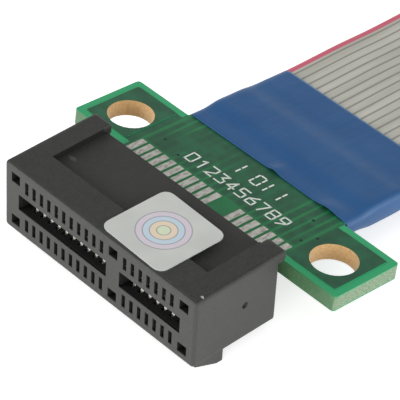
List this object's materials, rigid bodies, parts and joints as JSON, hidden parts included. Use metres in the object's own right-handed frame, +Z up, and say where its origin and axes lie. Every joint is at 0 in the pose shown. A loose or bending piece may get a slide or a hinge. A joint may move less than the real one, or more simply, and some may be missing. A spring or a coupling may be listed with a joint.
{
  "type": "gpu riser cable",
  "caption": "Flat riser cable for an expansion card: a keyed card socket on a small winged board, two stacked ribbons under a sleeve, and a keyed edge plug.",
  "frame": {"origin": "centre of the flat under the card socket's foot", "axes": "+X across the cable, towards the short group of contacts; +Y from the socket's mouth towards the plug; +Z up, the socket's shortest way"},
  "size_m": [0.0342, 0.1998, 0.0087],
  "materials": {
    "housing": "fine matt moulded glass-filled plastic, dark grey",
    "contacts": "stamped springs of copper alloy, bright plated",
    "board": "glass laminate with satin green solder mask, tinned pads",
    "sleeve": "thin blue film sleeve, satin, slightly wrinkled",
    "label": "silver-grey film label, satin",
    "ribbon": "grey ribbed flexible insulation with one red edge wire"
  },
  "bodies": {
    "root": {"socket_housing": "housing", "contact_a01": "contacts", "contact_a02": "contacts", "contact_a03": "contacts", "contact_a04": "contacts", "contact_a05": "contacts", "contact_a06": "contacts", "contact_a07": "contacts", "contact_a08": "contacts", "contact_a09": "contacts", "contact_a10": "contacts", "contact_a11": "contacts", "contact_a12": "contacts", "contact_a13": "contacts", "contact_a14": "contacts", "contact_a15": "contacts", "contact_a16": "contacts", "contact_a17": "contacts", "contact_a18": "contacts", "contact_b01": "contacts", "contact_b02": "contacts", "contact_b03": "contacts", "contact_b04": "contacts", "contact_b05": "contacts", "contact_b06": "contacts", "contact_b07": "contacts", "contact_b08": "contacts", "contact_b09": "contacts", "contact_b10": "contacts", "contact_b11": "contacts", "contact_b12": "contacts", "contact_b13": "contacts", "contact_b14": "contacts", "contact_b15": "contacts", "contact_b16": "contacts", "contact_b17": "contacts", "contact_b18": "contacts", "socket_board": "board", "label": "label", "socket_sleeve": "sleeve", "ribbon_upper": "ribbon", "ribbon_lower": "ribbon", "plug_board": "board", "plug_sleeve": "sleeve"}
  },
  "joints": []
}
